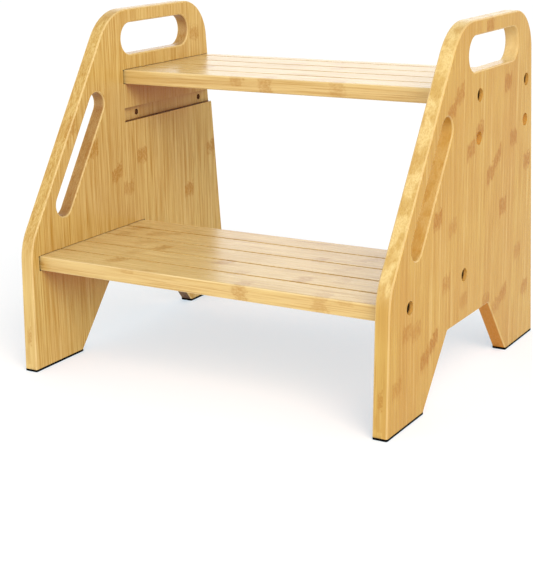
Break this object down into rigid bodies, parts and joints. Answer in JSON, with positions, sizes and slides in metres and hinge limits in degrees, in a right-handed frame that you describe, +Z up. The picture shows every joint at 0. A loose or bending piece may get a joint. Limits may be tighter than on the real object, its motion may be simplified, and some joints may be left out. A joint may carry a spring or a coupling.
{
  "type": "step stool",
  "caption": "Bamboo step stool for a child: upright side panels with hand holes and slanted slots, grooved step boards bolted between them, rubber foot pads.",
  "frame": {"origin": "on the floor, under the middle of the stool's box", "axes": "+Z up, +Y to the rear, +X along the boards towards the right panel as seen from the front"},
  "size_m": [0.412, 0.366, 0.353],
  "materials": {
    "panel_bamboo": "satin clear lacquer on flat-pressed bamboo, grain upright",
    "step_bamboo": "satin clear lacquer on flat-pressed bamboo, grain along the board",
    "rubber": "matt black rubber",
    "black_steel": "black oxide, satin",
    "plated_steel": "zinc plated, machined"
  },
  "bodies": {
    "root": {"left_side_panel": "panel_bamboo", "right_side_panel": "panel_bamboo", "upper_step": "step_bamboo", "lower_step": "step_bamboo", "upper_left_front_bolt": "black_steel", "upper_left_rear_bolt": "black_steel", "upper_right_front_bolt": "black_steel", "upper_right_rear_bolt": "black_steel", "lower_left_front_bolt": "black_steel", "lower_left_rear_bolt": "black_steel", "lower_right_front_bolt": "black_steel", "lower_right_rear_bolt": "black_steel", "upper_left_front_barrel_nut": "plated_steel", "upper_left_rear_barrel_nut": "plated_steel", "upper_right_front_barrel_nut": "plated_steel", "upper_right_rear_barrel_nut": "plated_steel", "lower_left_front_barrel_nut": "plated_steel", "lower_left_rear_barrel_nut": "plated_steel", "lower_right_front_barrel_nut": "plated_steel", "lower_right_rear_barrel_nut": "plated_steel", "front_left_foot_pad": "rubber", "rear_left_foot_pad": "rubber", "front_right_foot_pad": "rubber", "rear_right_foot_pad": "rubber"}
  },
  "joints": []
}
